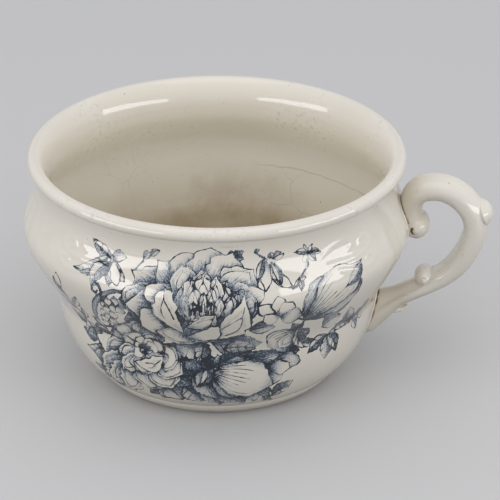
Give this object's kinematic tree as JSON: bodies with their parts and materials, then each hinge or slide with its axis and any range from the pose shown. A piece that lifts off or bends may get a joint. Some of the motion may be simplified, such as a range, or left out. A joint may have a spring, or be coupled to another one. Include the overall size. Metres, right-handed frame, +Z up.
{
  "type": "chamber pot",
  "caption": "Round-shouldered ceramic chamber pot with a rolled rim, a low foot ring and a scrolled loop handle, glazed cream with a blue floral print.",
  "frame": {"origin": "centre of the foot ring on the plane it rests on, on the bowl's axis", "axes": "+Z up along the bowl's axis, +X out along the handle, +Y completes a right-handed frame"},
  "size_m": [0.2862, 0.2368, 0.1447],
  "materials": {
    "cream_glaze": "gloss",
    "stained_slip": "gloss"
  },
  "bodies": {
    "root": {"bowl": "cream_glaze", "rolled_rim": "cream_glaze", "foot_ring": "cream_glaze", "handle_front_half": "cream_glaze", "handle_back_half": "cream_glaze", "upper_scroll": "cream_glaze", "shoulder_knop": "cream_glaze", "inner_curl": "cream_glaze", "leaf_tip": "cream_glaze", "upper_slip_joint": "stained_slip", "lower_slip_joint": "stained_slip"}
  },
  "joints": []
}
